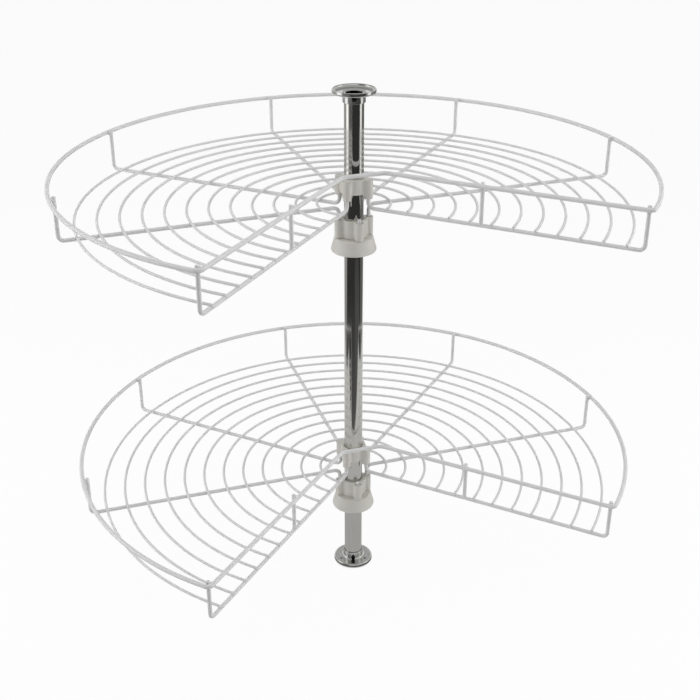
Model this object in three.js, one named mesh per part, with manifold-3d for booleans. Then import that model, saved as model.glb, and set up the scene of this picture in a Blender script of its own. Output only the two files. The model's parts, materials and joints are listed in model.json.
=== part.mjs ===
// A three-quarter revolving carousel for a corner cupboard.
// Two coated-wire baskets turn about a chromed pole that is screwed between the cupboard's floor and top.
// Millimetres, +Z up. The origin is on the pole's axis, at the face that rests on the cupboard floor.
// Each basket leaves out a quarter turn; the gap, or notch, faces -Y.

import * as THREE from 'three';
import { mergeVertices } from 'three/addons/utils/BufferGeometryUtils.js';
import Module from 'manifold-3d';

const wasm = await Module();
wasm.setup();

// ---- Pole and its flanges --------------------------------------------------------------------
const poleDiameter = 25;
const poleWall = 1.5;
const mountingHeight = 700;         // cupboard floor to cupboard top
const tubeEndInset = 5;             // from a mounting face to the tube's end
const flangeDiameter = 55;
const flangeSheet = 1.6;
const flangeRecess = 4;             // how far the dish's web stands off the mounting face
const flangeLipRound = 2.4;
const flangeNeckWall = 1.6;
const flangeNeckHeight = 16.5;      // mounting face to the neck's free end
const flangeNeckFillet = 3;
const flangeScrewCircle = 40;
const flangeScrewHole = 5;
const flangeScrewCount = 3;
const flangeGrubHeight = 9.5;
const flangeAzimuth = -110;         // degrees; the side that the flanges' grub screws face

// ---- Grub screws -----------------------------------------------------------------------------
const grubDiameter = 6;
const flangeGrubLength = 4;
const coneGrubLength = 7;
const grubSocketWidth = 3;          // across the flats
const grubSocketDepth = 1.8;

// ---- Baskets ---------------------------------------------------------------------------------
const basketRadius = 375;           // to the rail's centreline
const railDiameter = 5.5;
const railHeight = 51;              // over the floor spokes
const railCornerSlack = 0.5;        // how much wider the rail's corner is bent than the post inside it needs
const railChordSetback = 36;        // from the pole's axis to the chord in front of it
const railChordBend = 15;
const spokeDiameter = 5;
const spokeBendAtHub = 8;
const spokeBendAtRail = 7;
const spokeCount = 7;
const postStub = 1.2;               // how far a post stands over the rail
const ringDiameter = 3.5;
const ringCount = 12;
const firstRingRadius = 47;
const lastRingInset = 26.5;         // from the rail to the outermost ring
const ringEndOverhang = 1.5;        // past the centreline of the notch's edge spokes
const midPostAfterRing = 5;         // the short posts stand between this ring and the next
const lowerShelfHeight = 157;       // to the floor spokes' centrelines
const shelfSpacing = 393;
const lowerBasketTurn = -2;         // degrees, as the lower basket happens to stand

// ---- Moulded hub -----------------------------------------------------------------------------
const collarWall = 4.5;
const lobeWall = 3;
const topCollarHeight = 19;
const topCollarLift = 19;           // from the floor spokes to the collar's underside
const topLobeDrop = 6;              // the top lobes reach below their collar
const bottomCollarHeight = 24;
const bottomCollarDrop = 16;        // from the floor spokes down to the collar's top
const pinEndGap = 4;                // between a pin's end and the far end of its lobe
const hubPinStandout = 4.5;
const coneTopDiameter = 50;
const coneBottomDiameter = 61;
const coneHeight = 20;
const coneSkirtWall = 3;
const coneTopWall = 5;
const coneTopRound = 1.5;
const coneFootRound = 3;
const coneFootLand = 0.5;           // the flat ring that the skirt ends in
const coneSleeveWall = 4.5;
const coneSleeveInset = 2;          // from the skirt's foot to the inner sleeve's foot
const coneGrubAzimuth = 70;         // degrees; at the back
const coneGrubHeight = 7;           // over the skirt's foot
const coneAccessHole = 7.5;

// ---- Clearances ------------------------------------------------------------------------------
const seatGap = 0.3;                // between pieces that touch
const runningGap = 0.4;             // between the turning collars and the pole
const overcut = 1;                  // how far a cutting shape reaches past what it cuts
const mergeDistance = 1e-4;

// ---- Facets ----------------------------------------------------------------------------------
const poleSides = 32;
const flangeSides = 28;
const hubSides = 24;
const lobeSides = 12;
const wireSides = 6;
const ringSides = 5;
const hexagonSides = 6;
const railStepsPerSector = 6;
const ringChordError = 2;           // millimetres between a ring and its straight facets
const bendSteps = 3;
const roundSteps = 2;

// ---- Derived sizes ---------------------------------------------------------------------------
const degrees = Math.PI / 180;
const poleRadius = poleDiameter / 2;
const railRadius = railDiameter / 2;
const spokeRadius = spokeDiameter / 2;
const ringRadius = ringDiameter / 2;
const sectorAngle = 45 * degrees;                 // between neighbouring spokes
const leftEdge = 225 * degrees;                   // azimuth of the first spoke
const rightEdge = leftEdge - (spokeCount - 1) * sectorAngle;
const collarBore = poleRadius + runningGap;
const collarRadius = collarBore + collarWall;
const socketRadius = spokeRadius + seatGap;
const lobeRadius = socketRadius + lobeWall;
const pinCircle = collarRadius + socketRadius;
const topLobeBase = topCollarLift - topLobeDrop;
const topCollarTop = topCollarLift + topCollarHeight;
const bottomCollarBase = -bottomCollarDrop - bottomCollarHeight;
const coneTop = bottomCollarBase - seatGap;
const coneFoot = coneTop - coneHeight;
const railOffset = railRadius + spokeRadius + seatGap;    // rail beside the posts it is welded to
const railCornerRadius = railOffset + railCornerSlack;
const postRadius = basketRadius - railOffset;
const postTop = railHeight + railRadius + postStub;
const ringHeight = spokeRadius + ringRadius + seatGap;
const ringPitch = (basketRadius - lastRingInset - firstRingRadius) / (ringCount - 1);

// ---- Materials -------------------------------------------------------------------------------
const chrome = () => new THREE.MeshStandardMaterial({ color: 0xd9dbdb, roughness: 0.08, metalness: 1 });
const coatedWire = () => new THREE.MeshStandardMaterial({ color: 0xd4d6d8, roughness: 0.45, metalness: 0 });
const hubPlastic = () => new THREE.MeshStandardMaterial({ color: 0xc9c7bf, roughness: 0.5, metalness: 0 });
const blackSteel = () => new THREE.MeshStandardMaterial({ color: 0x26272a, roughness: 0.4, metalness: 1 });

function named(name, geometry, material) {
  const mesh = new THREE.Mesh(geometry, material);
  mesh.name = name;
  return mesh;
}

// ---- Solid helpers ---------------------------------------------------------------------------
// A closed geometry as a solid that can be joined to or cut by others.
function solid(geometry) {
  const bare = geometry.clone();
  bare.deleteAttribute('normal');
  bare.deleteAttribute('uv');
  const merged = mergeVertices(bare, mergeDistance);
  const mesh = new wasm.Mesh({
    numProp: 3,
    vertProperties: Float32Array.from(merged.attributes.position.array),
    triVerts: Uint32Array.from(merged.index.array),
  });
  return new wasm.Manifold(mesh);
}

function geometryOf(body) {
  const mesh = body.getMesh();
  const geometry = new THREE.BufferGeometry();
  geometry.setAttribute('position', new THREE.BufferAttribute(mesh.vertProperties, 3));
  geometry.setIndex(new THREE.BufferAttribute(mesh.triVerts, 1));
  geometry.computeVertexNormals();
  return geometry;
}

// The corner radius of a polygon whose flats keep the given distance from its centre.
const aroundRadius = (radius, sides) => radius / Math.cos(Math.PI / sides);

function disc(radius, height, sides) {
  return new THREE.CylinderGeometry(radius, radius, height, sides).rotateX(Math.PI / 2);
}

// An upright cylinder between two heights, away from the axis by a distance at an azimuth.
function upright(radius, low, high, sides, distance = 0, azimuth = 0) {
  const x = distance * Math.cos(azimuth);
  const y = distance * Math.sin(azimuth);
  return disc(radius, high - low, sides).translate(x, y, (low + high) / 2);
}

// A cylinder that lies along a radius, from one distance to another.
function radial(radius, near, far, sides, azimuth, height) {
  const geometry = new THREE.CylinderGeometry(radius, radius, far - near, sides);
  geometry.rotateZ(Math.PI / 2);
  geometry.translate((near + far) / 2, 0, 0);
  return geometry.rotateZ(azimuth).translate(0, 0, height);
}

// A closed profile of [radius, height] points turned about the Z axis.
function revolve(profile, sides) {
  const points = profile.map(([radius, height]) => new THREE.Vector2(radius, height));
  if (THREE.ShapeUtils.isClockWise(points)) points.reverse();
  points.push(points[0].clone());
  return new THREE.LatheGeometry(points, sides).rotateX(Math.PI / 2);
}

// Profile points on an arc about a centre, from one angle to another, in degrees.
function round(centreRadius, centreHeight, radius, from, to, steps = roundSteps) {
  return Array.from({ length: steps + 1 }, (_, i) => {
    const angle = (from + (to - from) * i / steps) * degrees;
    return [centreRadius + radius * Math.cos(angle), centreHeight + radius * Math.sin(angle)];
  });
}

// ---- Wire helpers ----------------------------------------------------------------------------
// A wire's centreline, sampled only at its own stations.
class WireLine extends THREE.Curve {
  constructor(stations, closed = false) {
    super();
    this.stations = stations;
    this.closed = closed;
    this.spans = closed ? stations.length : stations.length - 1;
  }

  station(index) {
    const count = this.stations.length;
    const clamped = THREE.MathUtils.clamp(index, 0, count - 1);
    return this.stations[this.closed ? (index + count) % count : clamped];
  }

  getPointAt(u, target = new THREE.Vector3()) {
    return target.copy(this.station(Math.round(u * this.spans)));
  }

  getTangentAt(u, target = new THREE.Vector3()) {
    const index = Math.round(u * this.spans);
    const here = this.station(index);
    const before = here.clone().sub(this.station(index - 1)).normalize();
    const after = this.station(index + 1).clone().sub(here).normalize();
    return target.copy(before).add(after).normalize();
  }

  getSpacedPoints() {
    return this.stations.map((point) => point.clone());
  }
}

function wire(stations, radius, sides) {
  const section = Array.from({ length: sides }, (_, i) => {
    const angle = 2 * Math.PI * i / sides;
    return new THREE.Vector2(radius * Math.cos(angle), radius * Math.sin(angle));
  });
  const extrudePath = new WireLine(stations);
  return new THREE.ExtrudeGeometry(new THREE.Shape(section), { steps: extrudePath.spans, extrudePath });
}

function wireLoop(stations, radius, sides) {
  const path = new WireLine(stations, true);
  return new THREE.TubeGeometry(path, path.spans, radius, sides, true);
}

// The stations of a bent wire: straight runs between corners, each corner rounded by a bend.
function bentWire(corners, bends) {
  const stations = [corners[0]];
  for (let i = 1; i < corners.length - 1; i++) {
    const corner = corners[i];
    const back = corners[i - 1].clone().sub(corner).normalize();
    const on = corners[i + 1].clone().sub(corner).normalize();
    const half = back.angleTo(on) / 2;
    const centre = back.clone().add(on).setLength(bends[i - 1] / Math.sin(half)).add(corner);
    const start = back.clone().multiplyScalar(bends[i - 1] / Math.tan(half)).add(corner).sub(centre);
    const turnAxis = back.clone().cross(on).normalize();
    const turn = -(Math.PI - 2 * half);
    for (let step = 0; step <= bendSteps; step++) {
      stations.push(start.clone().applyAxisAngle(turnAxis, turn * step / bendSteps).add(centre));
    }
  }
  stations.push(corners[corners.length - 1]);
  return stations;
}

const onCircle = (radius, azimuth, height = 0) =>
  new THREE.Vector3(radius * Math.cos(azimuth), radius * Math.sin(azimuth), height);

// ---- Basket rail -----------------------------------------------------------------------------
// Where the rail's tight corner is centred, along and across an edge spoke.
const railCornerAcross = railOffset - railCornerRadius;
const railCornerAlong = Math.sqrt((basketRadius - railCornerRadius) ** 2 - railCornerAcross ** 2);
const railCornerLag = Math.atan2(railCornerAcross, railCornerAlong);

// The rail's right half, from the middle of the chord, round the corner, to the middle of the back.
function halfRail() {
  const outward = onCircle(1, rightEdge);
  const toNotch = onCircle(1, rightEdge - Math.PI / 2);
  const onRail = (along, across) =>
    outward.clone().multiplyScalar(along).addScaledVector(toNotch, across).setZ(railHeight);
  const chordAlong = railChordSetback / Math.cos(sectorAngle) - railOffset;
  const chordMiddle = new THREE.Vector3(0, -railChordSetback, railHeight);
  const chordCorner = onRail(chordAlong, railOffset);
  const stations = bentWire([chordMiddle, chordCorner, onRail(railCornerAlong, railOffset)], [railChordBend]);
  for (let step = 1; step <= bendSteps; step++) {
    const angle = Math.PI / 2 + (railCornerLag - Math.PI / 2) * step / bendSteps;
    const along = railCornerAlong + railCornerRadius * Math.cos(angle);
    const across = railCornerAcross + railCornerRadius * Math.sin(angle);
    stations.push(onRail(along, across));
  }
  const stepAngle = sectorAngle / railStepsPerSector;
  const halfSteps = railStepsPerSector * (spokeCount - 1) / 2;
  for (let step = 1; step <= halfSteps; step++) {
    stations.push(onCircle(basketRadius, rightEdge + step * stepAngle, railHeight));
  }
  return stations;
}

function rail() {
  const right = halfRail();
  const left = right.slice(1, -1).reverse().map((point) => new THREE.Vector3(-point.x, point.y, point.z));
  return wireLoop([...right, ...left], railRadius, wireSides);
}

// ---- Basket spokes, posts and rings ----------------------------------------------------------
// A spoke runs along the floor, turns up into a post at the rail, and up or down into a pin at the hub.
function spoke(index) {
  const azimuth = leftEdge - index * sectorAngle;
  const isEdge = index === 0 || index === spokeCount - 1;
  const pinsUp = index % 2 === 0;
  const pinEnd = pinsUp ? topCollarTop - pinEndGap : bottomCollarBase + pinEndGap;
  const outer = isEdge ? railCornerAlong : postRadius;
  const corners = [
    onCircle(pinCircle, azimuth, pinEnd),
    onCircle(pinCircle, azimuth),
    onCircle(outer, azimuth),
    onCircle(outer, azimuth, postTop),
  ];
  return wire(bentWire(corners, [spokeBendAtHub, spokeBendAtRail]), spokeRadius, wireSides);
}

const ringSize = (index) => firstRingRadius + index * ringPitch;

function ring(index) {
  const radius = ringSize(index);
  const stepLimit = 2 * Math.acos(1 - ringChordError / radius);
  const stepsPerSector = Math.ceil(sectorAngle / stepLimit);
  const overhang = ringEndOverhang / radius;
  const steps = stepsPerSector * (spokeCount - 1);
  const stations = [onCircle(radius, rightEdge - overhang, ringHeight)];
  for (let step = 0; step <= steps; step++) {
    stations.push(onCircle(radius, rightEdge + step * sectorAngle / stepsPerSector, ringHeight));
  }
  stations.push(onCircle(radius, leftEdge + overhang, ringHeight));
  return wire(stations, ringRadius, ringSides);
}

// A short post on an edge spoke, beside the straight rail over it.
function midPost(azimuth) {
  const distance = (ringSize(midPostAfterRing - 1) + ringSize(midPostAfterRing)) / 2;
  return upright(spokeRadius, spokeRadius + seatGap, postTop, wireSides, distance, azimuth);
}

// ---- Moulded collars and cones ---------------------------------------------------------------
// A ring round the pole with a through socket in each lobe for a spoke's pin.
function collar(low, high, lobeLow, azimuths) {
  let body = solid(upright(collarRadius, low, high, hubSides));
  for (const azimuth of azimuths) {
    body = body.add(solid(upright(lobeRadius, lobeLow, high, lobeSides, pinCircle, azimuth)));
  }
  const bore = aroundRadius(collarBore, hubSides);
  const from = lobeLow - overcut;
  const to = high + overcut;
  body = body.subtract(solid(upright(bore, from, to, hubSides)));
  for (const azimuth of azimuths) {
    const socket = aroundRadius(socketRadius, lobeSides);
    body = body.subtract(solid(upright(socket, from, to, lobeSides, pinCircle, azimuth)));
  }
  return geometryOf(body);
}

const spokeAzimuths = Array.from({ length: spokeCount }, (_, i) => leftEdge - i * sectorAngle);
const notchAzimuth = (leftEdge + rightEdge - 2 * Math.PI) / 2;

function topCollar() {
  return collar(topCollarLift, topCollarTop, topLobeBase, spokeAzimuths.filter((_, i) => i % 2 === 0));
}

function bottomCollar() {
  const azimuths = [...spokeAzimuths.filter((_, i) => i % 2 === 1), notchAzimuth];
  return collar(bottomCollarBase, -bottomCollarDrop, bottomCollarBase, azimuths);
}

// The round-ended pin in the bottom collar's fourth lobe, on the notch's side.
function hubPin() {
  const low = bottomCollarBase + pinEndGap;
  const shoulder = hubPinStandout - bottomCollarDrop - spokeRadius;
  const dome = round(0, shoulder, spokeRadius, 0, 90);
  const profile = [[0, low], [spokeRadius, low], ...dome];
  const points = profile.map(([radius, height]) => new THREE.Vector2(radius, height));
  const geometry = new THREE.LatheGeometry(points, wireSides).rotateX(Math.PI / 2);
  return geometry.translate(pinCircle * Math.cos(notchAzimuth), pinCircle * Math.sin(notchAzimuth), 0);
}

// A flared skirt with an inner sleeve that a grub screw clamps to the pole.
function cone() {
  const bore = aroundRadius(poleRadius + seatGap, hubSides);
  const sleeve = poleRadius + seatGap + coneSleeveWall;
  const topRadius = coneTopDiameter / 2;
  const footRadius = coneBottomDiameter / 2;
  const flare = Math.atan2(footRadius - topRadius, coneHeight) / degrees;
  const underside = coneTop - coneTopWall;
  const profile = [
    [bore, coneTop],
    ...round(topRadius - coneTopRound, coneTop - coneTopRound, coneTopRound, 90, flare),
    ...round(footRadius - coneFootRound, coneFoot + coneFootRound, coneFootRound, flare, -90),
    [footRadius - coneFootRound - coneFootLand, coneFoot],
    [topRadius - coneSkirtWall, underside],
    [sleeve, underside],
    [sleeve, coneFoot + coneSleeveInset],
    [bore, coneFoot + coneSleeveInset],
  ];
  const azimuth = coneGrubAzimuth * degrees;
  const height = coneFoot + coneGrubHeight;
  const inSkirt = sleeve + overcut;
  const thread = radial(grubDiameter / 2 + seatGap, 0, inSkirt, lobeSides, azimuth, height);
  const access = radial(coneAccessHole / 2, inSkirt, footRadius + overcut, lobeSides, azimuth, height);
  return geometryOf(solid(revolve(profile, hubSides)).subtract(solid(thread)).subtract(solid(access)));
}

// ---- Grub screws -----------------------------------------------------------------------------
// A headless screw along a radius, its tip against the pole and a hexagon socket in its outer end.
function grubScrew(length, azimuth, height) {
  const near = poleRadius + seatGap;
  const far = near + length;
  const body = solid(radial(grubDiameter / 2, near, far, lobeSides, azimuth, height));
  const corner = aroundRadius(grubSocketWidth / 2, hexagonSides);
  const cut = radial(corner, far - grubSocketDepth, far + overcut, hexagonSides, azimuth, height);
  return geometryOf(body.subtract(solid(cut)));
}

// ---- Pole and flanges ------------------------------------------------------------------------
function poleTube() {
  const inner = poleRadius - poleWall;
  const low = tubeEndInset;
  const high = mountingHeight - tubeEndInset;
  return revolve([[inner, low], [poleRadius, low], [poleRadius, high], [inner, high]], poleSides);
}

// A pressed dish with a rolled lip, a neck round the tube and three screw holes, mounting face down.
function flange() {
  const rim = flangeDiameter / 2;
  const bore = aroundRadius(poleRadius + seatGap, flangeSides);
  const neck = bore + flangeNeckWall;
  const web = flangeRecess;
  const webTop = flangeRecess + flangeSheet;
  const lip = rim - flangeSheet;
  const flare = flangeNeckFillet - flangeNeckWall / 2;
  const profile = [
    [lip, 0],
    [rim, 0],
    ...round(rim - flangeLipRound, webTop - flangeLipRound, flangeLipRound, 0, 90),
    ...round(neck + flangeNeckFillet, webTop + flangeNeckFillet, flangeNeckFillet, -90, -180),
    [neck, flangeNeckHeight],
    [bore, flangeNeckHeight],
    ...round(bore + flare, web + flare, flare, 180, 270),
    [lip, web],
  ];
  let body = solid(revolve(profile, flangeSides));
  for (let i = 0; i < flangeScrewCount; i++) {
    const azimuth = Math.PI + 2 * Math.PI * i / flangeScrewCount;
    const distance = flangeScrewCircle / 2;
    const hole = upright(flangeScrewHole / 2, 0, webTop + overcut, lobeSides, distance, azimuth);
    body = body.subtract(solid(hole));
  }
  const thread = radial(grubDiameter / 2 + seatGap, 0, neck + overcut, lobeSides, 0, flangeGrubHeight);
  return geometryOf(body.subtract(solid(thread)));
}

// ---- Assembly --------------------------------------------------------------------------------
function flangeWithScrew(prefix) {
  const group = new THREE.Group();
  group.add(named(`${prefix}_flange`, flange(), chrome()));
  const screw = grubScrew(flangeGrubLength, 0, flangeGrubHeight);
  group.add(named(`${prefix}_flange_grub_screw`, screw, blackSteel()));
  return group;
}

function poleAssembly() {
  const group = new THREE.Group();
  group.add(named('pole_tube', poleTube(), chrome()));
  const bottom = flangeWithScrew('bottom');
  bottom.rotation.z = flangeAzimuth * degrees;
  const top = flangeWithScrew('top');
  top.position.z = mountingHeight;
  top.rotation.set(Math.PI, 0, -flangeAzimuth * degrees);
  group.add(bottom, top);
  return group;
}

function carrier(prefix, floorHeight) {
  const group = new THREE.Group();
  group.position.z = floorHeight;
  group.add(named(`${prefix}_cone`, cone(), hubPlastic()));
  const screw = grubScrew(coneGrubLength, coneGrubAzimuth * degrees, coneFoot + coneGrubHeight);
  group.add(named(`${prefix}_cone_grub_screw`, screw, blackSteel()));
  return group;
}

function basket(prefix, floorHeight, turn) {
  const group = new THREE.Group();
  group.position.z = floorHeight;
  group.rotation.z = turn * degrees;
  group.add(named(`${prefix}_rail`, rail(), coatedWire()));
  for (let i = 0; i < spokeCount; i++) {
    group.add(named(`${prefix}_spoke_${i + 1}`, spoke(i), coatedWire()));
  }
  for (let i = 0; i < ringCount; i++) {
    const number = String(i + 1).padStart(2, '0');
    group.add(named(`${prefix}_ring_${number}`, ring(i), coatedWire()));
  }
  group.add(named(`${prefix}_left_mid_post`, midPost(leftEdge), coatedWire()));
  group.add(named(`${prefix}_right_mid_post`, midPost(rightEdge), coatedWire()));
  group.add(named(`${prefix}_top_collar`, topCollar(), hubPlastic()));
  group.add(named(`${prefix}_bottom_collar`, bottomCollar(), hubPlastic()));
  group.add(named(`${prefix}_hub_pin`, hubPin(), coatedWire()));
  return group;
}

const carousel = new THREE.Group();
const upperShelfHeight = lowerShelfHeight + shelfSpacing;
carousel.add(poleAssembly());
carousel.add(carrier('upper', upperShelfHeight));
carousel.add(carrier('lower', lowerShelfHeight));
carousel.add(basket('upper', upperShelfHeight, 0));
carousel.add(basket('lower', lowerShelfHeight, lowerBasketTurn));

export default carousel;
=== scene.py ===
"""A three-quarter revolving carousel for a corner cupboard, dressed for a studio photograph.

Coated wire, bright chrome and moulded plastic are modelled at their real size, each piece in the place of
its node of the frame.
"""

import json
import math

import bmesh
import bpy
from bpy.props import FloatProperty, FloatVectorProperty, PointerProperty
from bpy.types import Operator, Panel, PropertyGroup
from mathutils import Matrix, Vector

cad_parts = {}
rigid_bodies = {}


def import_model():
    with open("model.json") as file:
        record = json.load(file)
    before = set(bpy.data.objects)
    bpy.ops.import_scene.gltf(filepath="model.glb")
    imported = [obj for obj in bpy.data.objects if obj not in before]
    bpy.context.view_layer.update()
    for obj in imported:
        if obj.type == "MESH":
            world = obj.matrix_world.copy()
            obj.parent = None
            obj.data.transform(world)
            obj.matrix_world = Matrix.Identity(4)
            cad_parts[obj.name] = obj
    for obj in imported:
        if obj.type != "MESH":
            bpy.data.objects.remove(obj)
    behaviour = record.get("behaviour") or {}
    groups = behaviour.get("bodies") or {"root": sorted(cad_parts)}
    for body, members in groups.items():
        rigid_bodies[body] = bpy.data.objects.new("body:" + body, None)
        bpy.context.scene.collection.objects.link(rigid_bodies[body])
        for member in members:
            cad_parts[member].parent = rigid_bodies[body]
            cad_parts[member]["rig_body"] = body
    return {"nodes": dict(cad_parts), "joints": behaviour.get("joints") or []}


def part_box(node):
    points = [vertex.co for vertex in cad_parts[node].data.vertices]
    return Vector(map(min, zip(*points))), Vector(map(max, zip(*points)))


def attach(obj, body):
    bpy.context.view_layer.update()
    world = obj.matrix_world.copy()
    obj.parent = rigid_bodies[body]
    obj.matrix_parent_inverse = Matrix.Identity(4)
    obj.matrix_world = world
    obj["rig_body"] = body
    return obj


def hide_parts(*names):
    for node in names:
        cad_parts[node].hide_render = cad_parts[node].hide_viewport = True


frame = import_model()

bl_info = {
    "name": "Corner carousel fitting",
    "version": (1, 0, 0),
    "blender": (4, 5, 0),
    "location": "3D View > Sidebar > Carousel",
    "description": "Models the wire, chrome and plastic of a revolving corner carousel, and its studio",
    "category": "Add Mesh",
}

MM = 0.001
UP = Vector((0, 0, 1))
QUARTER_TURN = math.pi / 2
SECTOR = math.pi / 4                # between neighbouring spokes
SPOKE_COUNT = 7
RING_COUNT = 12
SCREW_HOLES = 3                     # in each flange
BASKETS = ("upper", "lower")
PIVOT_OF = {joint["child"]: joint.get("pos_m") for joint in frame["joints"]}

# How finely round shapes are cut up.
WIRE_SIDES = 16
RING_SIDES = 12
BEND_STEPS = 8
RAIL_STEPS = 216
RING_STEPS = 108
TURNED_STEPS = 96
LOBE_STEPS = 22
SMALL_STEPS = 24
ROUND_STEPS = 4
EDGE_STEPS = 2
MERGE = 2e-6                        # vertices that lie this close are one
SHARP = math.radians(35)            # an edge that turns more than this is shaded sharp
CORNER = math.radians(60)           # a moulded edge that turns more than this is rounded

# Weld beads, melted down under the coat: half their sizes along, across and up, and their middles' heights.
RAIL_BEAD = (2.1 * MM, 3.3 * MM, 3.5 * MM)
RING_BEAD = (2.3 * MM, 2.9 * MM, 1.5 * MM)
RING_BEAD_HEIGHT = 1.9 * MM
POST_BEAD = (3.4 * MM, 2.7 * MM, 1.5 * MM)
POST_BEAD_HEIGHT = 2.1 * MM


# ---- Properties ------------------------------------------------------------------------------

def linear(hex_colour):
    """A linear colour from an sRGB hex code."""
    channels = [int(hex_colour[i:i + 2], 16) / 255 for i in (1, 3, 5)]
    return tuple(c / 12.92 if c <= 0.04045 else ((c + 0.055) / 1.055) ** 2.4 for c in channels)


def length(name, millimetres, description):
    """A size, written in millimetres and kept in metres."""
    return FloatProperty(
        name=name, description=description, default=millimetres * MM, min=0, precision=5,
        unit="LENGTH", subtype="DISTANCE",
    )


def colour(name, hex_colour, description):
    return FloatVectorProperty(
        name=name, description=description, default=linear(hex_colour), min=0, max=1, size=3,
        subtype="COLOR",
    )


def angle(name, degrees, description):
    return FloatProperty(
        name=name, description=description, default=math.radians(degrees), unit="ROTATION",
        subtype="ANGLE",
    )


class CarouselPole(PropertyGroup):
    """Sizes and colours of the pole, its flanges and the grub screws."""

    tube_diameter: length("Tube diameter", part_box("pole_tube")[1].x * 2 / MM, "Outside of the pole's tube")
    tube_wall: length("Tube wall", 1.5, "Wall of the pole's tube")
    tube_chamfer: length("Tube end", 0.3, "Broken edge at each end of the tube")
    flange_diameter: length("Flange diameter", 55, "Over the flange's rolled lip")
    flange_sheet: length("Flange sheet", 1.6, "Thickness of the pressed sheet")
    flange_recess: length("Flange recess", 4, "From the mounting face to the underside of the web")
    lip_round: length("Lip round", 2.4, "Outer round of the rolled lip")
    dish_round: length("Dish round", 2.9, "Hollow round between the web and the lip, in the recess")
    neck_wall: length("Neck wall", 1.6, "Wall of the drawn neck")
    neck_height: length("Neck height", 16.5, "From the mounting face to the neck's free end")
    neck_fillet: length("Neck fillet", 2.6, "Draw radius between the web and the neck")
    neck_gap: length("Neck gap", 0.25, "Play between the neck and the tube")
    screw_circle: length("Screw circle", 40, "Circle through the three screw holes")
    screw_hole: length("Screw hole", 5, "Diameter of a screw hole")
    grub_diameter: length("Grub screw", 6, "Diameter of the grub screws")
    grub_socket: length("Hexagon socket", 3, "Across the flats of a grub screw's socket")
    grub_socket_depth: length("Socket depth", 1.8, "Depth of a grub screw's socket")
    flange_grub_length: length("Flange grub length", 4, "Length of a flange's grub screw")
    cone_grub_length: length("Cone grub length", 7, "Length of a cone's grub screw")
    chrome_colour: colour("Chrome", "#CFCEC9", "What bright chrome plate reflects")
    flange_colour: colour("Satin chrome", "#D0D0CD", "What the flanges' satin plate reflects")
    black_colour: colour("Black oxide", "#1B1B1D", "Blacked steel of the grub screws")


class CarouselBasket(PropertyGroup):
    """Sizes and colour of the welded wire baskets."""

    radius: length("Basket radius", 375, "From the pole's axis to the rail's centreline")
    rail_diameter: length("Rail wire", 5.5, "Diameter of the rail wire, coat and all")
    rail_height: length("Rail height", 51, "From the floor spokes up to the rail")
    corner_radius: length("Rail corner", 6.05, "Bend where the rail turns from the rim to the notch")
    chord_setback: length("Chord setback", 36, "From the pole's axis to the chord in front of it")
    chord_bend: length("Chord bend", 15, "Bend between the chord and a straight edge")
    spoke_diameter: length("Spoke wire", 5, "Diameter of the spokes and posts, coat and all")
    pin_circle: length("Pin circle", 20.2, "From the pole's axis to a spoke's pin")
    pin_bend: length("Bend at the hub", 8, "Bend between a spoke and its pin")
    post_bend: length("Bend at the rail", 7, "Bend between a spoke and its post")
    post_offset: length("Post offset", 5.55, "From the rail's centreline to a post's")
    post_stub: length("Post stub", 1.2, "How far a post stands over the rail")
    ring_diameter: length("Ring wire", 3.5, "Diameter of the floor rings, coat and all")
    ring_lift: length("Ring lift", 3.45, "A ring's centreline over the spokes, sunk a little by its welds")
    first_ring: length("First ring", 47, "Radius of the smallest ring")
    last_ring: length("Last ring", 348.5, "Radius of the largest ring")
    ring_overhang: length("Ring overhang", 1.5, "How far a ring reaches past the edge spokes' centrelines")
    mid_post_place: length("Mid post", 170.34, "From the pole's axis to the short post on an edge spoke")
    end_round: length("Wire end", 0.9, "Round of a sheared and coated wire end")
    coat_colour: colour("Coat", "#D7D7D7", "Pale grey-white powder coat")


class CarouselHub(PropertyGroup):
    """Sizes and colour of the moulded collars and cones, measured from the floor spokes."""

    bore: length("Collar bore", 25.8, "Bore that turns on the pole")
    collar_wall: length("Collar wall", 4.5, "Wall of a collar between its lobes")
    lobe_diameter: length("Lobe diameter", 11.6, "Outside of a lobe")
    lobe_draft: length("Lobe draft", 0.25, "How much a lobe is slimmer below its collar")
    lobe_fillet: length("Lobe fillet", 2, "Hollow fillet beside a lobe")
    socket_diameter: length("Socket", 5.5, "Socket for a pin")
    socket_roof: length("Socket roof", 2, "What closes the top collar's sockets above the pins")
    edge_round: length("Moulded edge", 0.45, "Round of the moulded edges")
    top_collar_foot: length("Top collar foot", 19, "Underside of the top collar, over the spokes")
    top_collar_height: length("Top collar height", 19, "Height of the top collar")
    top_lobe_drop: length("Top lobe drop", 6, "How far the top lobes reach below their collar")
    bottom_collar_drop: length("Bottom collar drop", 16, "Top of the bottom collar, under the spokes")
    bottom_collar_height: length("Bottom collar height", 24, "Height of the bottom collar")
    pin_end_gap: length("Pin end", 4, "From a pin's end to the far end of its lobe")
    hub_pin_standout: length("Hub pin", 4.5, "How far the round-ended pin stands out")
    cone_gap: length("Cone gap", 0.3, "Running gap between a collar and its cone")
    cone_top: length("Cone top", 50, "Diameter of the cone's top")
    cone_foot: length("Cone foot", 61, "Diameter of the cone's foot")
    cone_height: length("Cone height", 20, "Height of the cone")
    cone_bore: length("Cone bore", 25.6, "Bore that is clamped to the pole")
    cone_sleeve: length("Cone sleeve", 34.6, "Outside of the clamping sleeve")
    cone_skirt: length("Cone skirt", 3, "Wall of the skirt")
    cone_roof: length("Cone roof", 5, "Thickness of the cone's top")
    sleeve_inset: length("Sleeve inset", 2, "From the skirt's foot up to the sleeve's foot")
    access_hole: length("Access hole", 7.5, "Hole through the skirt for the hexagon key")
    plastic_colour: colour("Plastic", "#CDCBC4", "Warm grey-white moulded plastic")


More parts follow.
